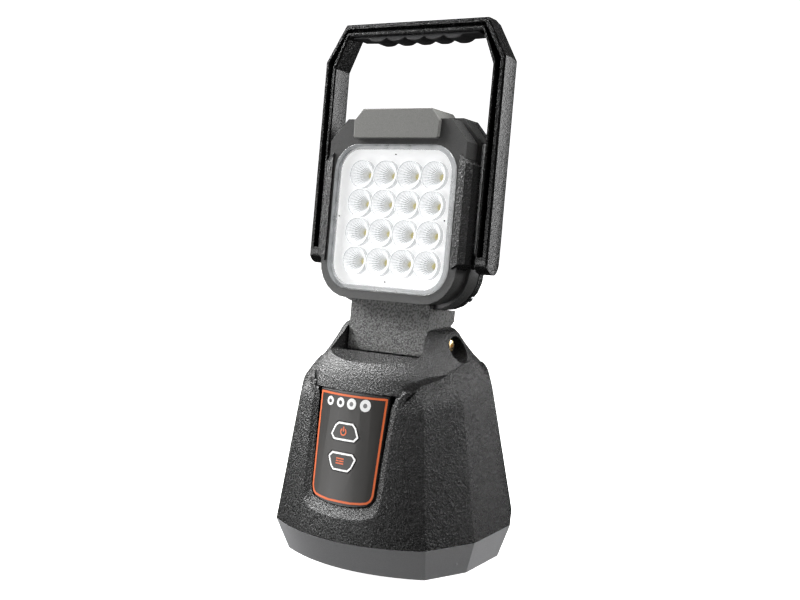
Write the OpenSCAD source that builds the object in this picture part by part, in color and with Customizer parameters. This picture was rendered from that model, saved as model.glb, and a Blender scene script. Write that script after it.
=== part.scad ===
// Rechargeable work light: a faceted magnetic base with a battery and a control panel, a tilting
// square lamp head with moulded optics, and a swinging carry handle. Millimetres, +Z up.
// The origin is the middle of the underside of the base, and the lamp faces -Y.

/* [Base] */
// Half width of the base at its widest level, across the side faces
base_side = 70; // [68:0.5:72]
// Distance from the middle to the crown of the curved front and rear faces
base_crown = 66; // [64:0.5:68]
// Height of the smooth foot ring
ring_h = 20; // [18:1:22]
// Wall thickness of the mouldings
wall = 2.8; // [2.4:0.1:3.2]
// Height at which the housing starts to round over
shoulder_z = 101; // [99:1:103]

/* [Control panel] */
// Half width of the panel at its top edge
panel_top_half = 23.3; // [22:0.1:24]
// Half width of the panel at its bottom edge
panel_low_half = 21.4; // [20:0.1:22]
// Height of the panel's top edge
panel_top_z = 103; // [102:0.5:104]
// Height of the middle of the panel's bottom edge
panel_low_z = 41; // [39:0.5:43]
// Depth of the panel below the housing's surface
panel_depth = 2.4; // [2:0.1:2.8]
// Height of the middle of the power button
power_z = 81.8; // [80:0.2:83]
// Height of the middle of the mode button
mode_z = 64.4; // [63:0.2:66]
// How far the buttons and lamps sit to the left of the middle
legend_shift = 1.5; // [0:0.1:2]
// Travel of a button
button_travel = 0.5; // [0.3:0.1:0.6]

/* [Tilt hinge] */
// Depth position of the hinge axis
hinge_y = 2; // [1:0.5:3]
// Height of the hinge axis
hinge_z = 129.8; // [129:0.2:131]
// Backward tilt of the head as it is shown
head_tilt = 8.1; // [0:0.1:12]
// Half width of the slot between the two ears
slot_half = 29.6; // [29.5:0.1:30]
// Radius of the hinge screws' plain shank
screw_r = 2.5; // [2:0.1:2.6]

/* [Lamp head] */
// Half width of the lens window
lens_half_w = 44; // [43:0.5:44]
// Half height of the lens window
lens_half_h = 44.5; // [43.5:0.5:44.5]
// Half width of the bezel's front face
bezel_half = 49.5; // [49:0.1:49.5]
// Height of the bezel's top edge above the lens centre
bezel_top = 60; // [59:0.5:61]
// Sideways spacing of the optics
optic_pitch_x = 17.5; // [17.3:0.1:17.6]
// Upright spacing of the optics
optic_pitch_z = 17.8; // [17.6:0.1:17.9]
// Number of optics along each side of the square
optic_rows = 4; // [4:1:4]
// Depth of the joint between the bezel and the rear cover
seam_y = 23; // [22:0.5:24]

/* [Handle] */
// Half width of the handle at the front edges of its legs
handle_half = 64.1; // [63.5:0.1:64.5]
// Height of the handle's top edge above the lens centre
handle_top = 119.6; // [118:0.1:122]
// Thickness of the handle's legs at the front edge
leg_w = 7.1; // [7:0.1:7.5]
// Depth of the front edges behind the lens centre
handle_front = 7.35; // [7:0.05:8]
// Depth of the handle's rear face
handle_rear = 24.4; // [24:0.1:25]
// Number of finger lobes on the grip
grip_lobes = 5; // [5:1:5]
// Width of one finger lobe
lobe_pitch = 13.8; // [13:0.1:14]

/* [Battery] */
// Diameter of one cell
cell_d = 18.2; // [18:0.1:18.6]
// Length of one cell
cell_l = 65; // [65:1:66]

/* [Hidden] */

eps = 0.02;
gap = 0.3;
big = 400;
arc_steps = 12;

// ---- outlines of the base, seen from above
// One level of the base: [x, y] of the side corner, [x, y] of the front corner, crown distance
low_level = [[base_side, 21], [55, 50], base_crown];
shoulder_level = [[base_side - 10.5, 17], [45.4, 37.6], base_crown - 16];
// The shoulder's rounding: height above shoulder_z, and how far it has come in. It is higher at the rear.
shoulder = [[1, 0], [4, 0.75], [6.8, 2], [10.2, 4.4], [14.5, 7.7], [18.5, 11.3], [21.7, 15.4]];
shoulder_tilt = 10;
shoulder_shift = 1.7;

function arc_r(half, rise) = (half * half + rise * rise) / (2 * rise);
function arc_y(x, half, rise, crown) = crown - arc_r(half, rise) + sqrt(pow(arc_r(half, rise), 2) - x * x);
function shrink(level, d) = [level[0] - [d, 0.35 * d], level[1] - [0.85 * d, 0.85 * d], level[2] - d];
function mix(a, b, t) = a + (b - a) * t;
function mix_level(a, b, t) = [mix(a[0], b[0], t), mix(a[1], b[1], t), mix(a[2], b[2], t)];
function front_arc(level, sign) = [for (k = [0 : arc_steps])
    let (x = level[1][0] * (2 * k / arc_steps - 1) * sign)
    [x, -sign * arc_y(x, level[1][0], level[2] - level[1][1], level[2])]];
function plan(level) = concat(front_arc(level, 1),
    [[level[0][0], -level[0][1]], level[0]], front_arc(level, -1), [[-level[0][0], level[0][1]], -level[0]]);
// Level of the housing's straight part at height z
function level_at(z) = mix_level(low_level, shoulder_level, (z - ring_h) / (shoulder_z - ring_h));
// Distance from the middle plane to the housing's curved face at x and z
function face_y(x, z) = let (l = level_at(z)) arc_y(x, l[1][0], l[2] - l[1][1], l[2]);
// Lean of the curved faces
face_lean = atan((base_crown - shoulder_level[2]) / (shoulder_z - ring_h));

module slice(z, level) translate([0, 0, z]) linear_extrude(eps) polygon(plan(level));

// The housing's outer form, moved in by d
module housing_form(d) hull() {
    slice(ring_h, shrink(low_level, d));
    for (s = shoulder) translate([0, -shoulder_shift, shoulder_z + s[0] - (s[0] > 20 ? d : 0)])
        rotate([shoulder_tilt, 0, 0]) slice(0, shrink(shoulder_level, s[1] + d));
}
// Only the straight part, for the pieces that follow the curved front
module face_form(d) hull() {
    slice(ring_h, shrink(low_level, d));
    slice(shoulder_z + 12, shrink(level_at(shoulder_z + 12), d));
}
// A plate in the plane of the lamp or panel, from depth y0 to y1
module upright(y0, y1) translate([0, y1, 0]) rotate([90, 0, 0]) linear_extrude(y1 - y0) children();
module mirror_pair() { children(); mirror([1, 0, 0]) children(); }
module x_rod(r, x0, x1) translate([x0, 0, 0]) rotate([0, 90, 0]) cylinder(r = r, h = x1 - x0, $fn = 48);

// ---- foot ring and underside
bottom_level = [[63, 18.5], [50.5, 43.5], 55.5];
plate_z = 1.2;
plate_t = 3;
magnet_r = 27;
screw_spots = [[44, 26], [-44, 26], [44, -26], [-44, -26]];

module ring_form(d) hull() {
    slice(0, shrink(bottom_level, d));
    slice(ring_h - eps - (d > 0 ? 0 : gap), shrink(low_level, d));
}
module foot_ring() color([0.33, 0.33, 0.34]) {
    difference() {
        ring_form(0);
        translate([0, 0, plate_z + plate_t]) ring_form(3.4);
        translate([0, 0, -eps]) linear_extrude(plate_z + plate_t + 1) polygon(plan(shrink(bottom_level, 6)));
    }
    for (p = screw_spots) difference() {
        translate([p[0], p[1], plate_z + plate_t]) {
            cylinder(r = 4.2, h = 11.6, $fn = 32);
            translate([p[0] > 0 ? 0 : -18, -1.5, 3]) cube([18, 3, 8.6]);
        }
        translate([p[0], p[1], 0]) cylinder(r = 1.65, h = 15, $fn = 24);
    }
}
module bottom_plate() color([0.08, 0.08, 0.08]) difference() {
    translate([0, 0, plate_z]) linear_extrude(plate_t) polygon(plan(shrink(bottom_level, 6.2)));
    translate([0, 0, -1]) cylinder(r = magnet_r + 1.4, h = 8, $fn = 64);
    for (p = screw_spots) translate([p[0], p[1], 0]) {
        cylinder(r = 1.7, h = 8, $fn = 24);
        cylinder(r = 3.4, h = plate_z + 1.6, $fn = 32);
    }
}
module bottom_screws() color([0.6, 0.6, 0.62]) for (p = screw_spots) translate([p[0], p[1], plate_z + 0.4]) {
    difference() {
        cylinder(r = 3, h = 1.2, $fn = 32);
        translate([0, 0, -eps]) cylinder(r = 1.2, h = 0.7, $fn = 6);
    }
    cylinder(r = 1.6, h = 12, $fn = 24);
}
module magnet_cup() color([0.7, 0.7, 0.72]) difference() {
    translate([0, 0, 0.9]) cylinder(r = magnet_r + 1.3, h = 8.4, $fn = 64);
    translate([0, 0, 0.8]) cylinder(r = magnet_r, h = 6.7, $fn = 64);
}
module magnet() color([0.35, 0.35, 0.37]) difference() {
    translate([0, 0, 1.2]) cylinder(r = magnet_r - 0.1, h = 6.2, $fn = 64);
    translate([0, 0, 1]) cylinder(r = 8, h = 7, $fn = 48);
}
module magnet_pad() color([0.05, 0.05, 0.05]) translate([0, 0, 0.2]) cylinder(r = magnet_r + 4, h = 0.7, $fn = 64);

// ---- housing shell: the mouth round the yoke, and the panel's U-shaped recess
mouth = [[48.4, 18], [48.2, -15.2], [44.4, -23.5], [37.1, -34.7], [31.4, -40], [31.4, -70],
    [-31.4, -70], [-31.4, -40], [-37.1, -34.7], [-44.4, -23.5], [-48.2, -15.2], [-48.4, 18],
    [-45.4, 29], [-36, 37.5], [36, 37.5], [45.4, 29]];
// Right half of the recess's outer and inner edges, from the top down: [x, z]
recess_out = [[36.6, 107.9], [33.1, 103.7], [31, 98.1], [30, 86], [29.2, 64], [28.4, 48], [27.1, 39.5],
    [23.5, 35.6], [17, 34.1], [8, 33.3], [0, 33.1]];
recess_in = [[31.2, 108.3], [28.3, 104.2], [26.4, 98.1], [25.7, 86], [24.4, 64], [23.8, 48], [23, 44.4],
    [20.8, 41.8], [15.8, 40.3], [7.5, 39.4], [0, 39.1]];
recess_depth = panel_depth + 0.6;
port_z = 46;
port_half = 16;
port_h = 17;

function both(list) = concat(list, [for (i = [len(list) - 2 : -1 : 0]) [-list[i][0], list[i][1]]]);
module face_point(p, d) translate([p[0], -face_y(abs(p[0]), p[1]) + d, p[1]]) cube(0.05, center = true);

module recess_bevel() {
    outer = both(recess_out);
    inner = both(recess_in);
    for (i = [0 : len(outer) - 2]) hull() for (k = [i, i + 1]) {
        face_point(outer[k], 0);
        face_point(outer[k], -3);
        face_point(inner[k], recess_depth);
        face_point(inner[k], -3);
    }
}
module rear_frame(z) translate([0, face_y(0, z), z]) rotate([face_lean, 0, 0]) children();

module body_shell() color([0.06, 0.06, 0.065]) difference() {
    union() {
        difference() {
            housing_form(0);
            translate([0, 0, -eps]) housing_form(wall);
        }
        // Thicker wall behind the recess's bevel, and a boss behind the charging port
        wafer(1, recess_depth + 2.4) polygon([for (p = both(recess_out)) p + [sign(p[0]) * 1.5, 0]]);
        rear_frame(port_z) translate([-port_half - 3, -7, -port_h / 2 - 3]) cube([2 * port_half + 6, 4.8, port_h + 6]);
    }
    translate([0, 0, shoulder_z + 3.4]) linear_extrude(60) polygon(mouth);
    upright(-big / 2, -30) polygon(both(recess_in));
    recess_bevel();
    rear_frame(port_z) {
        translate([-port_half, -3, -port_h / 2]) cube([2 * port_half, 10, port_h]);
        translate([-8, -14, -5]) cube([16, 14, 10]);
    }
}

// ---- top yoke: an oval cone whose top is slotted, which leaves the two hinge ears
boss_r = 7.9;
boss_drop = 1.9;
seat_x = 35.4;
// Levels of the cone: height, half width, half depth round yoke_y, and fullness of the oval (2 is an ellipse)
yoke_y = 3;
cone = [[90, 49, 45, 2], [104.3, 49, 45, 2], [104.5, 52, 48.6, 2.7], [113, 50.6, 46.4, 2.6], [118, 48.6, 43.8, 2.3],
    [121.5, 46.8, 41.4, 2.1], [130, 42.8, 31.6, 2], [136, 40.2, 24.2, 2], [138.4, 38.4, 20.6, 2], [139.4, 36.6, 18, 2]];
yoke_rear = 36.3;
hollow_top = 107;
mouth_fit = 0.985;

oval_n = 48;
function full(t, fullness) = sign(t) * pow(abs(t), 2 / fullness);
function oval(a, b, fullness = 2) = [for (k = [0 : oval_n - 1])
    [a * full(cos(k * 360 / oval_n), fullness), yoke_y + b * full(sin(k * 360 / oval_n), fullness)]];
module cone_form() {
    last = len(cone) - 1;
    points = [for (level = cone, p = oval(level[1], level[2], level[3])) [p[0], p[1], level[0]]];
    sides = [for (i = [0 : last - 1], k = [0 : oval_n - 1])
        let (a = i * oval_n + k, b = i * oval_n + (k + 1) % oval_n)
        each [[a, a + oval_n, b + oval_n], [a, b + oval_n, b]]];
    polyhedron(points, concat([[for (k = [0 : oval_n - 1]) k]],
        [[for (k = [oval_n - 1 : -1 : 0]) last * oval_n + k]], sides));
}
slot_floor = 118.9;
trough_r = 16.4;
// The front floor is a lens that rises from the lip to a crest before the trough
lip_y = -40;
lip_z = 120.9;
lip_rise = 0.2;
crest_y = -21.5;
flare_y = -14;
flare = 0.45;
function lip_at(y) = lip_z + lip_rise * (y - lip_y);

module slot_profile(half) translate([-half, 0, 0]) rotate([90, 0, 90]) linear_extrude(2 * half) children();
module top_yoke() color([0.07, 0.07, 0.075]) difference() {
    union() {
        // The cone fills the housing's mouth, with a hollow underneath
        difference() {
            intersection() {
                cone_form();
                translate([0, 0, 90]) linear_extrude(60) polygon(mouth * mouth_fit);
            }
            translate([-big / 2, yoke_rear, 0]) cube(big);
            translate([0, 0, 80]) linear_extrude(hollow_top - 80) intersection() {
                polygon(oval(45, 41.5));
                translate([-big / 2, yoke_rear - 3 - big]) square(big);
            }
        }
        // Flange that bears on the inside of the housing, and the posts of its screws
        translate([0, 0, 97]) linear_extrude(3) difference() {
            intersection() {
                polygon(plan(shrink(level_at(shoulder_z), wall + 0.5)));
                translate([-big / 2, -32]) square([big, 32 + yoke_rear]);
            }
            square([68, 50], center = true);
        }
        for (p = post_spots) translate([p[0], p[1], chassis_z + 3]) cylinder(r = 4.6, h = 21.6, $fn = 32);
    }
    // Slot between the ears: lens floor, relief before the neck, trough for its barrel, flat rear floor
    slot_profile(slot_half) {
        polygon([[-70, lip_at(-70)], [crest_y, lip_at(crest_y)], [crest_y + 1, 121.4], [8, 121.4], [9, slot_floor],
            [70, slot_floor], [70, 150], [-70, 150]]);
        translate([hinge_y, hinge_z]) circle(r = trough_r, $fn = 64);
    }
    // The ears' front edges flare outwards
    intersection() {
        slot_profile(60) polygon([[-70, lip_at(-70)], [flare_y + 1, lip_at(flare_y + 1)], [flare_y + 1, 150], [-70, 150]]);
        translate([0, 0, 100]) linear_extrude(60) polygon([[-slot_half, flare_y], [slot_half, flare_y],
            [slot_half + 30 * flare, flare_y - 30], [-slot_half - 30 * flare, flare_y - 30]]);
    }
    translate([0, hinge_y, hinge_z]) {
        x_rod(screw_r + 0.06, -60, 60);
        translate([0, 0, -boss_drop]) { x_rod(boss_r, seat_x, 60); x_rod(boss_r, -60, -seat_x); }
    }
    for (p = post_spots) translate([p[0], p[1], chassis_z]) cylinder(r = 2, h = 13, $fn = 24);
    // The panel and its frame pass in front of the skirt
    upright(-big / 2, -32) translate([-29.4, 80]) square([58.8, panel_top_z + 2 - 80]);
}

// ---- inside the base
chassis_z = 87;
battery_z = 14;
cell_pitch = cell_d + 1.2;
post_spots = [[36, 22], [-36, 22], [36, -22], [-36, -22]];
cell_spots = [for (i = [-0.5, 0.5], j = [-0.5, 0.5]) [i * cell_pitch, j * cell_pitch + 4]];

module chassis_plate() color([0.12, 0.12, 0.13]) difference() {
    translate([-46, -30, chassis_z]) cube([92, 60, 3]);
    for (p = post_spots) translate([p[0], p[1], chassis_z - 1]) cylinder(r = 2.1, h = 6, $fn = 24);
    translate([0, 0, chassis_z - 1]) cylinder(r = 7, h = 6, $fn = 48);
}
module yoke_screws() color([0.6, 0.6, 0.62]) for (p = post_spots) translate([p[0], p[1], chassis_z - 2.6]) {
    cylinder(r = 3.6, h = 2.6, $fn = 32);
    cylinder(r = 1.95, h = 14, $fn = 24);
}
module battery_cells() color([0.15, 0.35, 0.6]) for (p = cell_spots)
    translate([p[0], p[1], battery_z]) cylinder(r = cell_d / 2, h = cell_l, $fn = 48);
module cell_holder() color([0.1, 0.1, 0.1]) for (z = [battery_z - 3, battery_z + cell_l - 6]) difference() {
    translate([-cell_pitch - 2, 4 - cell_pitch - 2, z]) cube([2 * cell_pitch + 4, 2 * cell_pitch + 4, 9]);
    for (p = cell_spots) {
        translate([p[0], p[1], battery_z]) cylinder(r = cell_d / 2 + 0.1, h = cell_l, $fn = 48);
        translate([p[0], p[1], z - 1]) cylinder(r = 6, h = 12, $fn = 32);
    }
    link_slots(0.2);
}
module link_slots(g) for (x = [-0.5, 0.5] * cell_pitch, z = [battery_z - 0.3, battery_z + cell_l])
    translate([x - 4 - g, 4 - cell_pitch / 2 - 4 - g, z - g]) cube([8 + 2 * g, cell_pitch + 8 + 2 * g, 0.3 + 2 * g]);
module cell_links() color([0.75, 0.75, 0.72]) link_slots(0);
board_y = 34;
module charge_board() color([0.1, 0.35, 0.2]) translate([-26, board_y, 26]) cube([52, 1.6, 44]);
module charge_socket() color([0.7, 0.7, 0.72]) difference() {
    translate([-7.5, board_y + 1.6, port_z - 3.6]) cube([15, 19.5, 7.2]);
    translate([-5.5, board_y + 6, port_z - 1.8]) cube([11, 20, 3.6]);
}
// Rubber flap over the socket: plug, plate and a rolled lower edge that turns in the recess
flap_r = 1.4;
flap_y = -1.5;
flap_z = -port_h / 2 + flap_r + 0.3;
module port_cover() color([0.04, 0.04, 0.04]) rear_frame(port_z) {
    translate([-port_half + gap, -2.7, flap_z + 0.6]) cube([2 * (port_half - gap), 2.4, port_h - flap_r - 1.5]);
    translate([0, flap_y, flap_z]) x_rod(flap_r, -port_half + gap, port_half - gap);
    translate([-6.5, -4.6, -3]) cube([13, 2, 6]);
    translate([-5, -0.4, port_h / 2 - 2.6]) cube([10, 0.9, 1.6]);
}

// ---- control panel, curved with the front of the housing
function panel_pts(g) = both([[panel_top_half + g, panel_top_z + g], [panel_low_half + g, panel_low_z + 6.4],
    [panel_low_half - 1.2 + g, panel_low_z + 3.6 - 0.6 * g], [panel_low_half - 4.5 + g, panel_low_z + 1.9 - g],
    [10, panel_low_z + 0.5 - g], [0, panel_low_z - g]]);
module wafer(d0, d1) intersection() {
    upright(-big / 2, -20) children();
    difference() { face_form(d0); face_form(d1); }
}
module key_pts(flipped, g) {
    // Six-sided key: narrow top, wide lower corners
    half = [[5.6 + g * 0.7, 5.5 + g], [8 + g, 3.2], [10.6 + g, -2.5 - g * 0.3], [7.7 + g * 0.7, -5.5 - g]];
    pts = concat(half, [for (i = [3 : -1 : 0]) [-half[i][0], half[i][1]]]);
    translate([-legend_shift, flipped ? mode_z : power_z]) scale([1, flipped ? -1 : 1]) polygon(pts);
}
lamp_x = [-13.9, -5.7, 2.5, 12];
lamp_r = [2.6, 2.8, 3.2, 3.5];
lamp_z = 98;
overlay_t = 0.8;

module panel_frame() color([0.03, 0.03, 0.03]) difference() {
    wafer(panel_depth + overlay_t + 0.05, panel_depth + overlay_t + 2.1) polygon(panel_pts(1.6));
    upright(-big / 2, -20) { key_pts(false, 0.4); key_pts(true, 0.4); }
    for (i = [0 : 3]) translate([lamp_x[i] - legend_shift, 0, lamp_z]) rotate([90, 0, 0]) cylinder(r = lamp_r[i] + 0.1, h = 70, $fn = 32);
}
module control_overlay() color([0.16, 0.16, 0.16]) difference() {
    wafer(panel_depth, panel_depth + overlay_t) polygon(panel_pts(1));
    upright(-big / 2, -20) { key_pts(false, 0.3); key_pts(true, 0.3); }
    for (i = [0 : 3]) translate([lamp_x[i] - legend_shift, 0, lamp_z]) rotate([90, 0, 0]) cylinder(r = lamp_r[i] + 0.1, h = 70, $fn = 32);
}
module key(flipped) wafer(panel_depth - 0.15, panel_depth + overlay_t + 2.8) key_pts(flipped, 0);
module power_button() color([0.18, 0.18, 0.18]) key(false);
module mode_button() color([0.18, 0.18, 0.18]) key(true);
module charge_lights() color([0.95, 0.95, 0.95]) for (i = [0 : 3]) wafer(panel_depth - 0.1, panel_depth + overlay_t + 2.4)
    translate([lamp_x[i] - legend_shift, lamp_z]) circle(r = lamp_r[i], $fn = 32);
module panel_lean() translate([0, -face_y(0, 72), 72]) rotate([-face_lean, 0, 0]) children();
module control_board() color([0.1, 0.35, 0.2]) panel_lean() translate([-17, 14, -26]) cube([34, 1.6, 60]);
module tact_switches() color([0.3, 0.3, 0.3]) panel_lean() for (z = [power_z - 72, mode_z - 72])
    translate([-legend_shift, 0, z * 1.01]) {
        translate([-3, 10.5, -3]) cube([6, 3.5, 6]);
        translate([0, 10.5, 0]) rotate([90, 0, 0]) cylinder(r = 1.7, h = 3.4, $fn = 24);
    }

// ---- lamp head, drawn upright round the lens centre: x sideways, y backwards, z up
hinge_back = 21;
hinge_drop = 73;
module in_head() translate([0, hinge_y, hinge_z]) rotate([-head_tilt, 0, 0])
    translate([0, -hinge_back, hinge_drop]) children();

low_r = 22;
flange = 2.2;
step_y = 12;
function corner(cx, cz, r, a0, a1) = [for (k = [0 : 6]) let (a = mix(a0, a1, k / 6)) [cx + r * cos(a), cz + r * sin(a)]];
function bezel_pts(g) = concat(corner(bezel_half - low_r, -50 + low_r, low_r + g, -90, 0),
    [[bezel_half + g, 46.5 + 0.45 * g], [bezel_half - 12 + 0.4 * g, bezel_top + g]],
    [[-bezel_half + 12 - 0.4 * g, bezel_top + g], [-bezel_half - g, 46.5 + 0.45 * g]],
    corner(-bezel_half + low_r, -50 + low_r, low_r + g, 180, 270));
function rr_pts(hw, hh, r) = concat(corner(hw - r, -hh + r, r, -90, 0), corner(hw - r, hh - r, r, 0, 90),
    corner(-hw + r, hh - r, r, 90, 180), corner(-hw + r, -hh + r, r, 180, 270));
module window(g) polygon(rr_pts(lens_half_w + g, lens_half_h + g, 16.7 + g));

cover_spots = [[-39.5, 47], [39.5, 47], [-43.1, -43.4], [43.1, -43.4]];
module at_cover_spots() for (p = cover_spots) translate([p[0], 14, p[1]]) rotate([-90, 0, 0]) children();
pivot_y = 15.8;
pivot_z = -22.4;
pin_r = 2.4;

module head_bezel() color([0.09, 0.09, 0.09]) in_head() difference() {
    union() {
        upright(0, step_y) polygon(bezel_pts(0));
        upright(step_y, seam_y) polygon(bezel_pts(flange));
        translate([0, pivot_y, pivot_z]) { x_rod(4.5, 50, 55.8); x_rod(4.5, -55.8, -50); }
    }
    upright(-1, 3) window(0.3);
    upright(2.4, 40) polygon(rr_pts(46.8, 47.2, 19));
    translate([0, pivot_y, pivot_z]) { x_rod(pin_r + 0.02, 40, 60); x_rod(pin_r + 0.02, -60, -40); }
    at_cover_spots() cylinder(r = 1.55, h = 60, $fn = 24);
}
pad_half = 31;
module top_pad() color([0.09, 0.09, 0.09]) in_head() difference() {
    upright(-2.8, 21.5) polygon([[-30, 48], [30, 48], [30.6, 49], [pad_half, 59], [25, 66], [-25, 66], [-pad_half, 59], [-30.6, 49]]);
    upright(0, 40) translate([-60, 0]) square([120, bezel_top]);
    upright(step_y, 40) polygon(bezel_pts(flange + eps));
}
module rail() difference() {
    hull() {
        upright(-1.3, -1.2) polygon([[46, -28], [46, 39], [50.4, 34], [50.4, -25]]);
        upright(1.8, 11) polygon([[46, -28], [46, 39], [49.6, 37], [53.8, 33.2], [53.8, -24.5], [49.6, -28]]);
    }
    upright(0, 40) translate([0, -60]) square([bezel_half, 120]);
}
module right_rail() color([0.1, 0.1, 0.1]) in_head() rail();
module left_rail() color([0.1, 0.1, 0.1]) in_head() mirror([1, 0, 0]) rail();

module lens_cover() color([0.9, 0.94, 0.96, 0.5]) in_head() difference() {
    union() {
        upright(-1, 2.4) window(0);
        upright(2.4, 4) polygon(rr_pts(46.4, 46.8, 18.6));
    }
    upright(-2, 0.4) window(-3);
}
module lens_seal() color([0.85, 0.85, 0.83]) in_head() difference() {
    upright(4.05, 5) polygon(rr_pts(46.4, 46.8, 18.6));
    upright(3, 6) window(-0.5);
}
optic_r = 8.6;
module optic_grid() for (i = [0 : optic_rows - 1], j = [0 : optic_rows - 1])
    translate([(i - (optic_rows - 1) / 2) * optic_pitch_x, 0, (j - (optic_rows - 1) / 2) * optic_pitch_z]) children();
module optics() color([0.92, 0.95, 0.97, 0.6]) in_head() optic_grid() rotate([-90, 0, 0])
    rotate_extrude($fn = 32) polygon([[0, 5.6], [6.4, 5.2], [optic_r, 5.2], [optic_r, 6], [8.2, 6.3], [4.2, 14], [0, 14]]);
module optic_carrier() color([0.95, 0.95, 0.95]) in_head() difference() {
    upright(6.4, 8.4) polygon(rr_pts(46.4, 46.8, 18.6));
    optic_grid() translate([0, 10, 0]) rotate([90, 0, 0]) cylinder(r = 8.25, h = 6, $fn = 32);
}
module led_board() color([0.9, 0.9, 0.88]) in_head() upright(15.6, 17.2) polygon(rr_pts(45, 45.4, 17));
module led_chips() color([0.95, 0.85, 0.3]) in_head() optic_grid() translate([-1.75, 14.6, -1.75]) cube([3.5, 1, 3.5]);
module head_seal() color([0.03, 0.03, 0.03]) in_head() difference() {
    upright(seam_y, seam_y + 0.8) polygon(bezel_pts(flange - 1));
    upright(seam_y - 1, seam_y + 2) polygon(rr_pts(45.6, 46, 18));
    at_cover_spots() cylinder(r = 1.7, h = 60, $fn = 24);
}
fin_pitch = 8.4;
cover_y = seam_y + 0.8;
module cover_form(d) hull() {
    upright(cover_y - (d > 0 ? 1 : 0), cover_y + 5 - d / 2) polygon(bezel_pts(flange - d));
    upright(cover_y + 5 - d / 2, cover_y + 12.6 - d) polygon(bezel_pts(-8 - d));
}
module rear_cover() color([0.07, 0.07, 0.07]) in_head() difference() {
    union() {
        difference() { cover_form(0); cover_form(3.4); }
        intersection() {
            cover_form(0);
            at_cover_spots() translate([0, 0, cover_y - 14]) cylinder(r = 5, h = 20, $fn = 32);
        }
    }
    for (i = [-3 : 3]) translate([i * fin_pitch - 2, cover_y + 10.8, -34]) cube([4, 10, 84]);
    at_cover_spots() {
        cylinder(r = 1.6, h = 30, $fn = 24);
        translate([0, 0, cover_y - 14 + 2.4]) cylinder(r = 3.2, h = 30, $fn = 32);
    }
}
module heat_sink() color([0.75, 0.76, 0.78]) in_head() {
    upright(17.25, 20.2) polygon(rr_pts(44, 44.4, 17));
    for (i = [-3.5 : 3.5]) translate([i * fin_pitch - 0.8, 20.1, -36]) cube([1.6, 10.4, 76]);
}
module cover_screws() color([0.55, 0.55, 0.57]) in_head() at_cover_spots() {
    translate([0, 0, 1]) cylinder(r = 1.5, h = cover_y - 14 + 2, $fn = 24);
    difference() {
        translate([0, 0, cover_y - 14 + 2.45]) cylinder(r = 2.9, h = 2, $fn = 32);
        translate([0, 0, cover_y - 14 + 3.4]) cylinder(r = 1.3, h = 2, $fn = 6);
    }
}

// ---- neck: a front plate and a rear block that share the hinge's barrel
neck_half = 29;
neck_mid = 15.7;
neck_rear = 38;
neck_top = -50.05;
neck_top_rear = neck_top - flange;
neck_low = -81.3;
barrel_r = 12.5;
module neck_front() color([0.11, 0.11, 0.11]) in_head() difference() {
    slot_profile(neck_half) polygon([[7.7, neck_low], [neck_mid, neck_low], [neck_mid, neck_top_rear],
        [step_y - 0.05, neck_top_rear], [step_y - 0.05, neck_top], [7.7, neck_top]]);
    translate([0, hinge_back, -hinge_drop]) x_rod(barrel_r + 0.05, -40, 40);
}
module neck_block() color([0.07, 0.07, 0.07]) in_head() difference() {
    union() {
        slot_profile(neck_half - 0.6) polygon([[neck_mid + 0.05, neck_top_rear], [neck_rear, neck_top_rear],
            [neck_rear, -59], [30, -66], [neck_mid + 0.05, -66]]);
        translate([0, hinge_back, -hinge_drop]) x_rod(barrel_r, -neck_half, neck_half);
    }
    translate([0, hinge_back, -hinge_drop]) { x_rod(3.25, 17, 40); x_rod(3.25, -40, -17); x_rod(4, -12, 12); }
}
module hinge_line() in_head() translate([0, hinge_back, -hinge_drop]) children();
module hinge_inserts() color([0.8, 0.62, 0.3]) hinge_line() mirror_pair() difference() {
    x_rod(3.2, 17.2, neck_half);
    x_rod(2, 17, 40);
}
module hinge_screws() color([0.86, 0.7, 0.4]) hinge_line() mirror_pair() difference() {
    union() {
        x_rod(1.95, 19, neck_half + 0.1);
        x_rod(screw_r, neck_half + 0.05, seat_x + 0.3);
        x_rod(4.25, seat_x + 0.2, seat_x + 3);
    }
    translate([seat_x + 1.6, 0, 0]) rotate([0, 90, 0]) cylinder(r = 1.7, h = 5, $fn = 6);
}
module hinge_washers() color([0.75, 0.75, 0.77]) hinge_line() mirror_pair() difference() {
    x_rod(7, neck_half + 0.08, slot_half - 0.08);
    x_rod(screw_r + 0.1, 20, 40);
}

// ---- handle: grooved frame, grip, pins and washers
skin = 1.2;
leg_low = -29.5;
leg_r = 8.4;
top_half = 51;
knee_x = 13.1;
knee_z = handle_top - 22.2;
function outer_pts(g) = [[handle_half + g, leg_low], [handle_half + g, knee_z + 0.3 * g], [top_half + 0.55 * g, handle_top + g],
    [-top_half - 0.55 * g, handle_top + g], [-handle_half - g, knee_z + 0.3 * g], [-handle_half - g, leg_low]];
inner_half = handle_half - leg_w;
inner_top = handle_top - 5.7;
function inner_pts(g) = [[inner_half + g, leg_low - 5], [inner_half + 0.9 + g, knee_z - 4 + 0.3 * g], [top_half - 1.9 + 0.55 * g, inner_top + g],
    [-top_half + 1.9 - 0.55 * g, inner_top + g], [-inner_half - 0.9 - g, knee_z - 4 + 0.3 * g], [-inner_half - g, leg_low - 5]];
groove_low = -19.8;
groove_in = handle_half - 5.8;
groove_out = handle_half - 2;
groove_pts = [[groove_out, groove_low], [groove_out + 0.5, knee_z - 0.5], [top_half - 1, handle_top - 1.7],
    [-top_half + 1, handle_top - 1.7], [-groove_out - 0.5, knee_z - 0.5], [-groove_out, groove_low],
    [-groove_in, groove_low], [-groove_in - 0.7, knee_z - 3.2], [-top_half + 1.6, inner_top + 1.4],
    [top_half - 1.6, inner_top + 1.4], [groove_in + 0.7, knee_z - 3.2], [groove_in, groove_low]];
band_y = 17;
groove_floor = 15;

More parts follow.
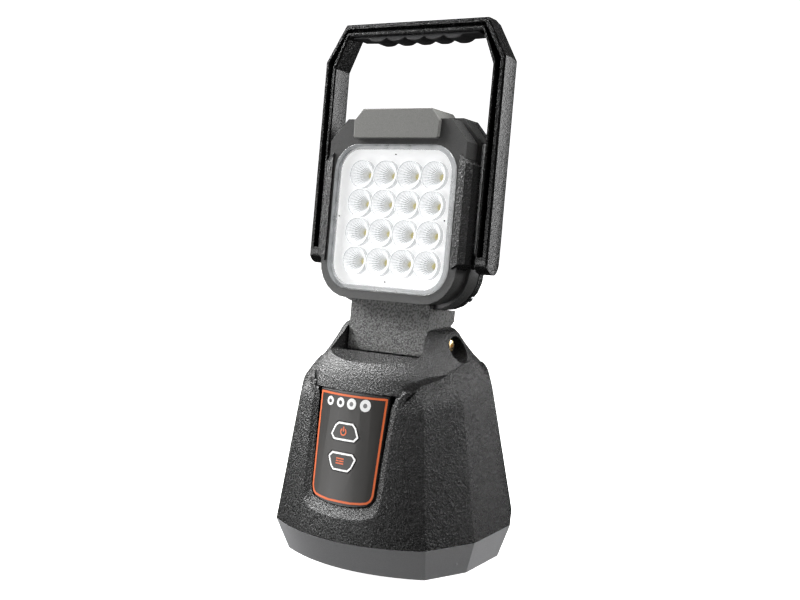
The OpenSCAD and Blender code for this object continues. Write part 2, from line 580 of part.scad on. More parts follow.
module handle_frame() color([0.05, 0.05, 0.055]) in_head() difference() {
    union() {
        upright(handle_front, handle_front + 1.3) polygon(outer_pts(0));
        hull() {
            upright(handle_front + 1.3, band_y) polygon(outer_pts(skin));
            upright(band_y, handle_rear) polygon(outer_pts(-0.2));
        }
    }
    upright(handle_front - 1, handle_front + 1.3) polygon(inner_pts(0));
    upright(handle_front + 1.3 - eps, band_y) polygon(inner_pts(-0.8));
    hull() {
        upright(band_y - eps, band_y) polygon(inner_pts(-0.8));
        upright(handle_rear, handle_rear + eps) polygon(inner_pts(0.4));
    }
    upright(handle_front - 1, groove_floor) polygon(groove_pts);
    // Rounded ends of the legs
    difference() {
        translate([-80, 0, leg_low - 1]) cube([160, 40, leg_r + 1]);
        translate([0, handle_rear - leg_r - 0.1, leg_low + leg_r]) x_rod(leg_r, -80, 80);
    }
    translate([0, pivot_y, pivot_z]) { x_rod(pin_r + 0.06, 50, 62.4); x_rod(pin_r + 0.06, -62.4, -50); }
}
grip_half = 46;
grip_low = inner_top - 4.6;
notch_h = 2.2;
lobes_half = grip_lobes * lobe_pitch / 2;
// Underside of the grip: round finger lobes with narrow notches, running out to thin ends
function wave(x) = abs(x) < lobes_half ? grip_low + notch_h * pow(1 - abs(cos(180 * x / lobe_pitch)), 1.5)
    : mix(grip_low + notch_h, inner_top - 2, min(1, (abs(x) - lobes_half) / (grip_half - lobes_half)));
module grip_insert() color([0.06, 0.06, 0.06]) in_head() upright(9, 23.6)
    polygon(concat([for (k = [0 : 80]) let (x = mix(-grip_half, grip_half, k / 80)) [x, wave(x)]],
        [[grip_half, inner_top - 0.85], [-grip_half, inner_top - 0.85]]));
module handle_pins() color([0.6, 0.6, 0.62]) in_head() translate([0, pivot_y, pivot_z]) mirror_pair() x_rod(pin_r, 47.2, 62);
module handle_washers() color([0.75, 0.75, 0.77]) in_head() translate([0, pivot_y, pivot_z]) mirror_pair() difference() {
    x_rod(4.4, 55.82, 56.1);
    x_rod(pin_r + 0.05, 50, 60);
}

foot_ring();
bottom_plate();
bottom_screws();
magnet_cup();
magnet();
magnet_pad();
body_shell();
top_yoke();
chassis_plate();
yoke_screws();
battery_cells();
cell_holder();
cell_links();
charge_board();
charge_socket();
port_cover();
panel_frame();
control_overlay();
power_button();
mode_button();
charge_lights();
control_board();
tact_switches();
neck_front();
neck_block();
hinge_inserts();
hinge_screws();
hinge_washers();
head_bezel();
top_pad();
left_rail();
right_rail();
lens_cover();
lens_seal();
optics();
optic_carrier();
led_board();
led_chips();
heat_sink();
head_seal();
rear_cover();
cover_screws();
handle_pins();
handle_washers();
handle_frame();
grip_insert();
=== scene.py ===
import math

import bmesh
import bpy
from mathutils import Matrix, Quaternion, Vector
from mathutils.bvhtree import BVHTree


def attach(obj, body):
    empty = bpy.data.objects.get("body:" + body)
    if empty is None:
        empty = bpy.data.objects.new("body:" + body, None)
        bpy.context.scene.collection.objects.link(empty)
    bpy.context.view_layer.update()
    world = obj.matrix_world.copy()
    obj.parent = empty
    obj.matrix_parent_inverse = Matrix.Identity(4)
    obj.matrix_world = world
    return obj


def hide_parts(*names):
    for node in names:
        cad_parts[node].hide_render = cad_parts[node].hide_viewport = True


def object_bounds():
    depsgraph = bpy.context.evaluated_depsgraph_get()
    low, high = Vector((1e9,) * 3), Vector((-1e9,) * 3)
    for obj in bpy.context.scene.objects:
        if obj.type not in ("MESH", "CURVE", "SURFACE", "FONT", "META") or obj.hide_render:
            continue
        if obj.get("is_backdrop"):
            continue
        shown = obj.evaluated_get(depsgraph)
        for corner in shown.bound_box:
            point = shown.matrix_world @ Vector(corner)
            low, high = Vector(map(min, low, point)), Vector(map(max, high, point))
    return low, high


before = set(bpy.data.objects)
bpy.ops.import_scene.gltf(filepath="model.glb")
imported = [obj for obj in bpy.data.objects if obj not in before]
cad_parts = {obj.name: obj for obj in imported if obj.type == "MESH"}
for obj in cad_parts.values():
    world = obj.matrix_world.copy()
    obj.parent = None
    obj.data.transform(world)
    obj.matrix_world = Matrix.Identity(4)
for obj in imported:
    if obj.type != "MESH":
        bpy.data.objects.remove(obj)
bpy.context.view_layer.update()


# ---- camera
# Stands off the light's right front side at the height of the lamp, and looks slightly down at its middle.
# Its long lens keeps the upright edges nearly parallel.
camera_turn = math.radians(34.24)
camera_rise = math.radians(7.15)
camera_roll = math.radians(0.47)
camera_target = Vector((0.00134, 0.00091, 0.15461))
camera_distance = 0.74673

camera_back = Vector((math.sin(camera_turn) * math.cos(camera_rise),
                      -math.cos(camera_turn) * math.cos(camera_rise),
                      math.sin(camera_rise)))
camera = bpy.data.objects.new("camera", bpy.data.cameras.new("camera"))
camera.data.lens = 54.87
camera.data.sensor_width = 36
camera.data.clip_end = 20
camera.location = camera_target + camera_back * camera_distance
camera.rotation_mode = "QUATERNION"
camera.rotation_quaternion = Quaternion(camera_back, camera_roll) @ camera_back.to_track_quat("Z", "Y")
bpy.context.scene.collection.objects.link(camera)
bpy.context.scene.camera = camera


# ---- studio
# White paper under and all round the light. One softbox is high at the left, one overhead, one low in front
# to lift the upright faces, a weak one at the right, and one behind that grazes the flats of the housing.
def stage_sheet(name, corners, faces):
    mesh = bpy.data.meshes.new(name)
    mesh.from_pydata(corners, [], faces)
    sheet = bpy.data.objects.new(name, mesh)
    bpy.context.scene.collection.objects.link(sheet)
    sheet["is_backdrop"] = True
    return sheet


def softbox(name, place, size, power, aim=(0, 0, 0.15)):
    lamp = bpy.data.lights.new(name, "AREA")
    lamp.shape = "RECTANGLE"
    lamp.size, lamp.size_y = size
    lamp.energy = power
    box = bpy.data.objects.new(name, lamp)
    box.location = place
    box.visible_camera = False
    box.rotation_euler = (Vector(place) - Vector(aim)).to_track_quat("Z", "Y").to_euler()
    bpy.context.scene.collection.objects.link(box)


def paper(name, glow):
    """White paper that is lit from behind, so that it stays an even white."""
    paint = bpy.data.materials.new(name)
    paint.use_nodes = True
    shader = paint.node_tree.nodes["Principled BSDF"]
    shader.inputs["Base Color"].default_value = (0.86, 0.86, 0.86, 1)
    shader.inputs["Roughness"].default_value = 0.9
    shader.inputs["Emission Color"].default_value = (1, 1, 1, 1)
    shader.inputs["Emission Strength"].default_value = glow
    return paint


room_radius, room_height, room_sides = 3.2, 3.5, 32
room_turns = [math.tau * k / room_sides for k in range(room_sides)]
corners = [(room_radius * math.cos(turn), room_radius * math.sin(turn)) for turn in room_turns]
floor = stage_sheet("floor", [(x, y, 0) for x, y in corners], [tuple(range(room_sides))])
floor.data.materials.append(paper("floor_paper", 0.96))
wall = stage_sheet("backdrop", [(x, y, z) for z in (0, room_height) for x, y in corners],
                   [(k, (k + 1) % room_sides, room_sides + (k + 1) % room_sides, room_sides + k)
                    for k in range(room_sides)])
wall.data.materials.append(paper("wall_paper", 1.0))
for sheet in (floor, wall):
    sheet.visible_diffuse = False
    sheet.visible_glossy = False
wall.visible_shadow = False

world = bpy.data.worlds.new("studio")
world.use_nodes = True
world.node_tree.nodes["Background"].inputs["Color"].default_value = (0.95, 0.95, 0.95, 1)
world.node_tree.nodes["Background"].inputs["Strength"].default_value = 0.05
bpy.context.scene.world = world
bpy.context.scene.view_settings.view_transform = "Standard"

softbox("left_softbox", (-1.25, -0.15, 1.05), (0.8, 0.9), 66)
softbox("top_softbox", (0.6, 0.05, 1.35), (0.45, 0.6), 20)
softbox("low_front_softbox", (-0.46, -0.62, 0.03), (0.5, 0.4), 3.6, aim=(0, 0, 0.2))
softbox("right_softbox", (1.3, -0.6, 0.35), (0.4, 0.9), 3)
softbox("rear_softbox", (1.0, 1.1, 0.45), (0.6, 0.9), 15)


# ---- foot ring
# The smooth dark grey moulding that the light stands on. It is injection moulded without a spark texture,
# and its upper edge meets the housing in a fine joint.
class Wire:
    """A value on its way through a material's nodes. Arithmetic on it adds Math nodes."""

    def __init__(self, finish, socket):
        self.finish = finish
        self.socket = socket

    def math(self, operation, *values):
        return self.finish.add("ShaderNodeMath", {"operation": operation}, dict(enumerate(values)))

    def __add__(self, other):
        return self.math("ADD", self, other)

    def __radd__(self, other):
        return self.math("ADD", other, self)

    def __sub__(self, other):
        return self.math("SUBTRACT", self, other)

    def __rsub__(self, other):
        return self.math("SUBTRACT", other, self)

    def __mul__(self, other):
        return self.math("MULTIPLY", self, other)

    def __rmul__(self, other):
        return self.math("MULTIPLY", other, self)


class Finish:
    """A material. Constants are set on the shader's own sockets, and wires go to the few that may vary."""

    def __init__(self, name, **constants):
        self.material = bpy.data.materials.new(name)
        self.material.use_nodes = True
        self.tree = self.material.node_tree
        self.shader = self.tree.nodes["Principled BSDF"]
        for socket, value in constants.items():
            self.shader.inputs[socket.replace("_", " ")].default_value = value

    def add(self, kind, settings=None, sockets=None, out=0):
        """A new node of one kind, with its settings made first and then its sockets set or linked."""
        node = self.tree.nodes.new(kind)
        for name, value in (settings or {}).items():
            setattr(node, name, value)
        for name, value in (sockets or {}).items():
            if isinstance(value, Wire):
                self.tree.links.new(value.socket, node.inputs[name])
            else:
                node.inputs[name].default_value = value
        return Wire(self, node.outputs[out])

    def feed(self, socket, wire):
        self.tree.links.new(wire.socket, self.shader.inputs[socket])

    def place(self):
        return self.add("ShaderNodeTexCoord", out="Object")

    def noise(self, size, detail=2, roughness=0.5, stretch=None, seed=0):
        """Cloudy noise whose grain is about size metres."""
        where = self.place()
        if stretch or seed:
            where = self.add("ShaderNodeMapping", {}, {
                0: where, "Scale": stretch or (1, 1, 1), "Location": (seed, 0.7 * seed, 0.3 * seed)})
        return self.add("ShaderNodeTexNoise", {}, {
            "Vector": where, "Scale": 1 / size, "Detail": detail, "Roughness": roughness})

    def mix(self, amount, low, high):
        """Colour from low to high as amount goes from 0 to 1."""
        return self.add("ShaderNodeMix", {"data_type": "RGBA"}, {0: amount, 6: low, 7: high}, out=2)

    def between(self, wire, low, high, low_out=0.0, high_out=1.0):
        """The wire's range from low to high spread over low_out to high_out, and held there beyond it."""
        return self.add("ShaderNodeMapRange", {}, {0: wire, 1: low, 2: high, 3: low_out, 4: high_out})

    def bump(self, height, distance):
        return self.add("ShaderNodeBump", {}, {"Height": height, "Distance": distance, "Strength": 1.0})


def moulded(name, colour, rough=0.42, grain=0.001, depth=0.0012, mottle=0.5, tips=0.0):
    """Moulded plastic with its mould's texture: rounded pits of about one grain, with finer ones on them.

    mottle is how uneven its colour is along the grain, partly the plastic's own tone and partly painted
    speckle for glints, and tips is how pale the grain's peaks are painted, a painted highlight for those
    glints.
    """
    cloud_size, fine_size, fine_share = 0.012, 0.42, 0.35
    finish = Finish(name)
    cloud = finish.noise(cloud_size, detail=3, seed=5)
    pits = finish.noise(grain, detail=1.5, roughness=0.6)
    lift = tuple(min(1, c * (1 + mottle)) for c in colour)
    drop = tuple(c * (1 - mottle) for c in colour)
    # The colour follows the grain: partly uneven tone, partly painted speckle for the glints on it.
    body = finish.mix(cloud * 0.3 + finish.between(pits, 0.3, 0.7) * 0.7, (*drop, 1), (*lift, 1))
    # Painted highlight: the grain's peaks are painted pale grey, for glints.
    if tips:
        painted_glint_grey = (0.55, 0.55, 0.54, 1)
        body = finish.mix(finish.between(pits, 0.4, 0.68, 0, tips), body, painted_glint_grey)
    finish.feed("Base Color", body)
    finish.feed("Roughness", finish.between(pits, 0.3, 0.7, rough + 0.09, rough - 0.09))
    fine_pits = finish.noise(grain * fine_size, detail=2, roughness=0.7, seed=3)
    finish.feed("Normal", finish.bump(pits * (1 - fine_share) + fine_pits * fine_share, depth))
    return finish.material


def made(name, form):
    """A new object in the scene with the shape that form holds."""
    mesh = bpy.data.meshes.new(name)
    form.to_mesh(mesh)
    form.free()
    piece = bpy.data.objects.new(name, mesh)
    bpy.context.scene.collection.objects.link(piece)
    return piece


def copied(node, name, flat):
    """A new object with a CAD node's shape. Triangles that turn by less than flat degrees become one face."""
    form = bmesh.new()
    form.from_mesh(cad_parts[node].data)
    bmesh.ops.remove_doubles(form, verts=form.verts, dist=2e-6)
    bmesh.ops.dissolve_limit(form, angle_limit=math.radians(flat), verts=form.verts, edges=form.edges)
    piece = made(name, form)
    for attribute in ("custom_normal", "sharp_edge", "sharp_face"):
        if attribute in piece.data.attributes:
            piece.data.attributes.remove(piece.data.attributes[attribute])
    return piece


def eased(piece, radius, steps, sharp):
    """Rounds every edge that turns by more than sharp degrees, as a mould's corners are."""
    rounding = piece.modifiers.new("eased_edges", "BEVEL")
    rounding.width = radius
    rounding.segments = steps
    rounding.limit_method = "ANGLE"
    rounding.angle_limit = math.radians(sharp)
    rounding.use_clamp_overlap = True
    rounding.harden_normals = True
    piece.data.shade_smooth()
    return piece


def fitted(piece, body, slot, material, *nodes):
    """Puts a piece on its body with its material, in the place of the CAD nodes it stands for."""
    piece.data.materials.append(material)
    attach(piece, body)
    if nodes:
        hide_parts(*nodes)
    return piece


def from_node(node, name, body, slot, material, radius, steps=2, sharp=30, flat=1.0):
    """A piece in the shape of one CAD node and in its place, with its edges eased."""
    return fitted(eased(copied(node, name, flat), radius, steps, sharp), body, slot, material, node)


ring_grey = moulded("ring_grey", (0.48, 0.48, 0.49), rough=0.42, grain=0.0005, depth=0.00003, mottle=0.1)
from_node("foot_ring", "foot_ring_moulding", "base", "foot_ring", ring_grey, 0.0012, 3, 14)


# ---- underside
# A flat plastic plate held by four zinc screws. A ring magnet sits in a nickel-plated cup in its middle,
# under a thin rubber pad that keeps it from scratching.
def metal(name, colour, rough, stretch=(1, 1, 1)):
    """Bare or plated metal with fine scratches and a faint unevenness in its gloss."""
    finish = Finish(name, Metallic=1.0)
    cloud_size, scratch_width, scratch_depth = 0.006, 0.0006, 0.00002
    cloud = finish.noise(cloud_size, detail=3, seed=2)
    lines = finish.noise(scratch_width, detail=2, stretch=stretch, seed=4)
    finish.feed("Base Color", finish.mix(cloud, (*(c * 0.78 for c in colour), 1), (*colour, 1)))
    finish.feed("Roughness", finish.between(lines + cloud, 0.6, 1.4, rough - 0.08, rough + 0.16))
    finish.feed("Normal", finish.bump(lines, scratch_depth))
    return finish.material


plate_black = moulded("plate_black", (0.018, 0.018, 0.018), grain=0.0007, depth=0.0002)
from_node("bottom_plate", "bottom_cover", "base", "bottom_plate", plate_black, 0.0004)
zinc = metal("zinc", (0.62, 0.63, 0.65), rough=0.3)
from_node("bottom_screws", "bottom_screw_set", "base", "zinc_screw", zinc, 0.0002)
cup_nickel = metal("cup_nickel", (0.7, 0.69, 0.66), rough=0.22)
from_node("magnet_cup", "magnet_pot", "base", "magnet_cup", cup_nickel, 0.0004)
ferrite = moulded("ferrite", (0.05, 0.05, 0.055), rough=0.55, grain=0.0004, depth=0.00005)
from_node("magnet", "ferrite_ring", "base", "magnet", ferrite, 0.0005)
rubber = moulded("rubber", (0.02, 0.02, 0.02), rough=0.65, grain=0.0004, depth=0.00008)
from_node("magnet_pad", "magnet_cushion", "base", "black_rubber", rubber, 0.0002)


# ---- housing
# The textured shell of the base in glass-filled nylon. Its shoulder is rounded, and the panel lies in a
# U-shaped recess with a bevelled rim.
housing_black = moulded("housing_black", (0.004, 0.004, 0.004),
                        rough=0.24, grain=0.0012, depth=0.001, tips=0.035)
from_node("body_shell", "housing_shell", "base", "body_shell", housing_black, 0.0009, 3, 19, flat=0.5)


# ---- yoke
# The oval cone that closes the housing's mouth and carries the head between its two ears. It is moulded in
# the same nylon as the housing, with a little more painted highlight on its grain's peaks.
yoke_black = moulded("yoke_black", (0.005, 0.005, 0.005), rough=0.28, grain=0.0012, depth=0.0009, tips=0.06)
from_node("top_yoke", "hinge_yoke", "base", "top_yoke", yoke_black, 0.001, 3, 24, flat=0.5)


# ---- hinge
# Two brass-plated screws with a cross recess turn in brass inserts in the neck's barrel, each through a
# steel washer.
def cross_recess(piece, centre, axis, reach, depth):
    """Cuts a cross that narrows as it goes down into a screw's head. axis points out of the head."""
    form = bmesh.new()
    turn = Vector(axis).to_track_quat("Z", "Y").to_matrix().to_4x4()
    first_arm = 0.4
    for spin in (first_arm, first_arm + math.pi / 2):
        place = Matrix.Translation(centre) @ turn @ Matrix.Rotation(spin, 4, "Z")
        blade = bmesh.ops.create_cube(form, size=1.0)["verts"]
        for vert in blade:
            deep = vert.co.z < 0
            vert.co = Vector((vert.co.x * 2 * reach * (0.45 if deep else 1), vert.co.y * reach * 0.55,
                              -depth if deep else depth))
        bmesh.ops.transform(form, matrix=place, verts=blade)
    cutter = made(piece.name + "_recess", form)
    carve = piece.modifiers.new("recess", "BOOLEAN")
    carve.operation = "DIFFERENCE"
    carve.solver = "EXACT"
    carve.use_self = True
    carve.object = cutter
    bpy.context.view_layer.update()
    shaped = bpy.data.meshes.new_from_object(piece.evaluated_get(bpy.context.evaluated_depsgraph_get()))
    piece.modifiers.clear()
    piece.data = shaped
    bpy.data.objects.remove(cutter)


def turned(name, profile):
    """A lathe-turned form round +X: profile is a list of (x, radius)."""
    form = bmesh.new()
    steps = 48
    rings = []
    for x, radius in profile:
        if radius == 0:
            rings.append([form.verts.new((x, 0, 0))])
        else:
            rings.append([form.verts.new((x, radius * math.cos(math.tau * k / steps),
                                          radius * math.sin(math.tau * k / steps))) for k in range(steps)])
    for low, high in zip(rings, rings[1:]):
        for k in range(steps):
            j = k + 1
            corners = [low[k % len(low)], low[j % len(low)], high[j % len(high)], high[k % len(high)]]
            form.faces.new(dict.fromkeys(corners))
    bmesh.ops.recalc_face_normals(form, faces=form.faces)
    return made(name, form)


hinge_axis_y, hinge_axis_z = 0.002, 0.1298
head_face_x = 0.0384
# From the tip to the head: the thread, the plain shank, the seat, and the domed head with its flat middle
screw_profile = [(0.019, 0), (0.019, 0.0017), (0.0192, 0.0019), (0.0291, 0.0019), (0.0291, 0.0025),
                 (0.0356, 0.0025), (0.0356, 0.0039), (0.0359, 0.00425), (0.0371, 0.00425), (0.0379, 0.0037),
                 (0.0383, 0.0024), (head_face_x, 0)]
brass = metal("screw_brass", (0.86, 0.66, 0.36), rough=0.22)
for side in (-1, 1):
    screw = turned("hinge_screw_left" if side < 0 else "hinge_screw_right", screw_profile)
    screw.data.transform(Matrix.Translation((0, hinge_axis_y, hinge_axis_z))
                         @ Matrix.Scale(side, 4, (1, 0, 0)))
    if side < 0:
        screw.data.flip_normals()
    head_face = Vector((side * head_face_x, hinge_axis_y, hinge_axis_z))
    cross_recess(screw, head_face, (side, 0, 0), 0.0022, 0.0015)
    eased(screw, 0.0001, 1, 40)
    stands_for = ["hinge_screws"] if side > 0 else []
    fitted(screw, "base", "hinge_screws", brass, *stands_for)
insert_brass = metal("insert_brass", (0.8, 0.62, 0.33), rough=0.3)
from_node("hinge_inserts", "threaded_inserts", "head", "hinge_inserts", insert_brass, 0.0002)


# ---- neck
# A front plate and a rear block under the lamp, in glass-filled nylon. The block's barrel turns between the
# ears, and the plate covers it in front.
# The same nylon as the housing, painted far paler and with pale peaks: a painted reflection for the light its
# front faces catch.
neck_painted_sheen = moulded("neck_painted_sheen", (0.07, 0.07, 0.068), rough=0.32, grain=0.0012, depth=0.0009, tips=0.4)
for node, name in (("neck_front", "neck_plate"), ("neck_block", "neck_barrel")):
    from_node(node, name, "head", "neck_plastic", neck_painted_sheen, 0.0006, 3)


# ---- lamp casing
# A satin bezel with a wider rear flange, a pad on its top and a textured rail on each side. Four screws hold
# the finned rear cover to it, over a gasket.
bezel_grey = moulded("bezel_grey", (0.07, 0.07, 0.069),
                     rough=0.34, grain=0.0006, depth=0.00012, mottle=0.25)
from_node("head_bezel", "bezel", "head", "head_bezel", bezel_grey, 0.0013, 4, 20)
pad_grey = moulded("pad_grey", (0.2, 0.2, 0.19), rough=0.4, grain=0.0006, depth=0.0001, mottle=0.2)
from_node("top_pad", "bezel_pad", "head", "top_pad", pad_grey, 0.0018, 4, 24)
rail_black = moulded("rail_black", (0.006, 0.006, 0.006), rough=0.28, grain=0.0011, depth=0.0008, tips=0.04)
for node, name in (("left_rail", "rail_left"), ("right_rail", "rail_right")):
    from_node(node, name, "head", "rail_plastic", rail_black, 0.0005, 2, 20)
cover_black = moulded("cover_black", (0.005, 0.005, 0.005),
                      rough=0.28, grain=0.0012, depth=0.001, tips=0.03)
from_node("rear_cover", "lamp_rear_cover", "head", "rear_cover", cover_black, 0.0012, 3, 20)
from_node("cover_screws", "cover_screw_set", "head", "zinc_screw", zinc, 0.0002)
from_node("head_seal", "casing_gasket", "head", "black_rubber", rubber, 0.0001, 1)


# ---- lens and light source
# A clear cover over 16 moulded optics, which clip into a white carrier. Each optic has a facetted bowl and
# a small dome over its yellow chip, and the chips sit on a white board with the aluminium heat sink behind.
head_lean = math.radians(-8.1)
lens_from_hinge = (0, -0.021, 0.073)
head_frame = (Matrix.Translation((0, hinge_axis_y, hinge_axis_z)) @ Matrix.Rotation(head_lean, 4, "X")
              @ Matrix.Translation(lens_from_hinge))
optic_pitch_x, optic_pitch_z = 0.0175, 0.0178
optic_steps = (-1.5, -0.5, 0.5, 1.5)
optic_places = [(x * optic_pitch_x, z * optic_pitch_z) for x in optic_steps for z in optic_steps]
lens_half_w, lens_half_h, lens_corner = 0.044, 0.0445, 0.0167
rim_width, pane_gap = 0.003, 0.0001


def circle(x, z, radius, start=0, end=360, count=40):
    """Points on a circle or an arc, from start to end degrees."""
    points = count if end - start == 360 else count + 1
    turn = [math.radians(start + (end - start) * k / count) for k in range(points)]
    return [(x + radius * math.cos(a), z + radius * math.sin(a)) for a in turn]


def lens_outline(inset):
    """The lens window's rounded square as (x, z), made smaller by inset all round."""
    half_w, half_h, radius = lens_half_w - inset, lens_half_h - inset, lens_corner - inset
    steps = 10
    points = []
    for quarter, (sx, sz) in enumerate(((1, -1), (1, 1), (-1, 1), (-1, -1))):
        for k in range(steps + 1):
            angle = math.radians(-90 + 90 * quarter + 90 * k / steps)
            points.append((sx * (half_w - radius) + radius * math.cos(angle),
                           sz * (half_h - radius) + radius * math.sin(angle)))
    return points


def slab(name, outer, inner, front, back):
    """A plate in the plane of the lens, solid or with a window, from depth front to depth back."""
    form = bmesh.new()
    loops = []
    for outline in (outer, inner):
        if outline:
            loops.append([[form.verts.new((x, y, z)) for x, z in outline] for y in (front, back)])
    count = len(outer)
    for k in range(count):
        j = (k + 1) % count
        for low, high in loops:
            form.faces.new((low[k], low[j], high[j], high[k]))
        if inner:
            for level in (0, 1):
                outside, inside = loops[0][level], loops[1][level]
                form.faces.new((outside[k], outside[j], inside[j], inside[k]))
    if not inner:
        for level in loops[0]:
            form.faces.new(level)
    bmesh.ops.recalc_face_normals(form, faces=form.faces)
    form.transform(head_frame)
    return made(name, form)


clear_rim = Finish("clear_rim", Roughness=0.08, Specular_IOR_Level=0.6)
rim_haze = clear_rim.noise(0.008, detail=3, seed=6)
clear_rim.feed("Base Color", clear_rim.mix(rim_haze, (0.3, 0.31, 0.32, 1), (0.6, 0.62, 0.63, 1)))
clear_rim.feed("Alpha", clear_rim.between(rim_haze, 0.3, 0.7, 0.42, 0.6))
clear_rim.feed("Normal", clear_rim.bump(rim_haze, 0.0002))
clear_pane = Finish("clear_pane", Roughness=0.05, Specular_IOR_Level=0.5)
pane_haze = clear_pane.noise(0.02, detail=3, seed=8)
clear_pane.feed("Base Color", clear_pane.mix(pane_haze, (0.85, 0.87, 0.9, 1), (0.97, 0.98, 1, 1)))
clear_pane.feed("Alpha", clear_pane.between(pane_haze, 0.3, 0.7, 0.06, 0.1))
gate_grey = moulded("gate_grey", (0.03, 0.03, 0.03), rough=0.4, grain=0.0004, depth=0.00003)
rim = slab("lens_rim", lens_outline(0), lens_outline(rim_width), -0.001, 0.0024)
eased(rim, 0.0005, 3, 40)
fitted(rim, "head", "lens_cover", clear_rim.material, "lens_cover")
pane = slab("lens_pane", lens_outline(rim_width + pane_gap), None, 0.0004, 0.0016)
fitted(eased(pane, 0.0001, 1, 40), "head", "lens_cover", clear_pane.material)
gate_place, gate_radius = 0.0385, 0.0005
for number, (x, z) in enumerate(((0, gate_place), (gate_place, 0), (0, -gate_place), (-gate_place, 0))):
    gate = slab("gate_mark_%d" % number, circle(x, z, gate_radius, count=16), None, 0.0001, 0.0005)
    fitted(eased(gate, 0.0001, 1, 40), "head", "lens_cover", gate_grey)

# The optics glow, though they are no lamp: painted light. Each facet's painted light and shade sets their
# colour and glow, and a fine cell pattern darkens them in spots.
optic_painted_glow = Finish("optic_painted_glow", Roughness=0.14, Specular_IOR_Level=0.8, Emission_Strength=0.5)
painted_facet_light = optic_painted_glow.add("ShaderNodeAttribute", {"attribute_name": "painted_facet_light"}, out=2)
facet = optic_painted_glow.add("ShaderNodeTexVoronoi", {"feature": "F1"},
                        {"Vector": optic_painted_glow.place(), "Scale": 900})
shade = optic_painted_glow.mix(painted_facet_light - facet * 0.16, (0.16, 0.17, 0.17, 1), (0.98, 0.99, 1, 1))
optic_painted_glow.feed("Base Color", shade)
optic_painted_glow.feed("Emission Color", shade)
optic_painted_glow.feed("Normal", optic_painted_glow.bump(facet, 0.0003))
# Each row of the bowl is its depth and radius in mm, and the painted light and shade of its even and odd
# facets
bowl_rows = [(12.5, 2.3, 0.6, 0.45), (9.4, 3.3, 0.9, 0.3), (7.4, 4.4, 1.0, 0.55), (5.6, 5.6, 1.0, 0.8),
             (4.0, 7.0, 0.95, 0.88), (2.9, 8.0, 0.45, 0.45), (2.6, 8.3, 1.0, 1.0), (2.6, 8.72, 0.45, 0.45),
             (6.3, 8.72, 0.9, 0.9), (13.9, 4.2, 0.6, 0.6), (13.9, 2.3, 0.5, 0.5)]
facets = 44
bowls = bmesh.new()
painted_facet_layer = bowls.faces.layers.float.new("painted_facet_light")
for x, z in optic_places:
    rings = [[bowls.verts.new(head_frame @ Vector((px, depth / 1000, pz)))
              for px, pz in circle(x, z, radius / 1000, count=facets)]
             for depth, radius, even, odd in bowl_rows]
    for i, low in enumerate(rings):
        high = rings[(i + 1) % len(rings)]
        for k in range(facets):
            j = (k + 1) % facets
            bowls.faces.new((low[k], low[j], high[j], high[k]))[painted_facet_layer] = bowl_rows[i][2 + k % 2]
bmesh.ops.recalc_face_normals(bowls, faces=bowls.faces)
fitted(made("optic_bowls", bowls), "head", "optics", optic_painted_glow.material, "optics")

# The carrier glows, though it is no lamp: painted light that keeps its white bright.
carrier_white = Finish("carrier_white", Roughness=0.5, Emission_Strength=0.6)
carrier_grain = carrier_white.noise(0.0015, detail=2)
carrier_colour = carrier_white.mix(carrier_grain, (0.88, 0.88, 0.88, 1), (1, 1, 1, 1))
carrier_white.feed("Base Color", carrier_colour)
carrier_white.feed("Emission Color", carrier_colour)
carrier_white.feed("Normal", carrier_white.bump(carrier_grain, 0.0001))
from_node("optic_carrier", "optic_tray", "head", "optic_carrier", carrier_white.material, 0.0003, 2, 40)
gasket_white = moulded("gasket_white", (0.75, 0.75, 0.73),
                       rough=0.6, grain=0.0005, depth=0.00005, mottle=0.08)
from_node("lens_seal", "lens_gasket", "head", "lens_seal", gasket_white, 0.0002, 1, 40)

# The chips' faint glow is painted light that brightens their yellow.
phosphor = Finish("phosphor", Roughness=0.3, Emission_Strength=0.1)
phosphor_grain = phosphor.noise(0.0004, detail=2)
phosphor_colour = phosphor.mix(phosphor_grain, (0.62, 0.5, 0.1, 1), (0.85, 0.76, 0.3, 1))
phosphor.feed("Base Color", phosphor_colour)
phosphor.feed("Emission Color", phosphor_colour)
phosphor.feed("Normal", phosphor.bump(phosphor_grain, 0.00004))
chips = bmesh.new()
dome_radius, dome_rise, dome_seat = 0.0021, 1.25, 0.0146
for x, z in optic_places:
    dome = bmesh.ops.create_uvsphere(chips, u_segments=20, v_segments=12, radius=dome_radius)["verts"]
    for vert in dome:
        vert.co.y = max(-dome_radius, min(0.0, vert.co.y)) * dome_rise
    bmesh.ops.translate(chips, vec=(x, dome_seat, z), verts=dome)
    base = bmesh.ops.create_cube(chips, size=1.0)["verts"]
    bmesh.ops.scale(chips, vec=(0.0035, 0.001, 0.0035), verts=base)
    bmesh.ops.translate(chips, vec=(x, dome_seat + 0.0005, z), verts=base)
chips.transform(head_frame)
fitted(eased(made("led_emitters", chips), 0.0001, 1, 50), "head", "led_chips", phosphor.material, "led_chips")
board_white = moulded("board_white", (0.8, 0.8, 0.78), rough=0.45, grain=0.0008, depth=0.00003, mottle=0.06)
from_node("led_board", "led_circuit_board", "head", "led_board", board_white, 0.0001, 1)
aluminium = metal("aluminium", (0.75, 0.76, 0.78), rough=0.35, stretch=(1, 1, 12))
from_node("heat_sink", "finned_heat_sink", "head", "heat_sink", aluminium, 0.0002, 1)


# ---- control panel
# A glossy film on a black frame, with two embossed keys and four white rings as charge lights. Its signs are
# silk-screened: an orange outline round the film, and a white outline with an orange sign on each key.
film_grey = Finish("film_grey", Specular_IOR_Level=0.35)
film_sheen_streaks = film_grey.noise(0.03, detail=2, stretch=(1, 1, 0.3), seed=4)
film_grain = film_grey.noise(0.0005, detail=2)
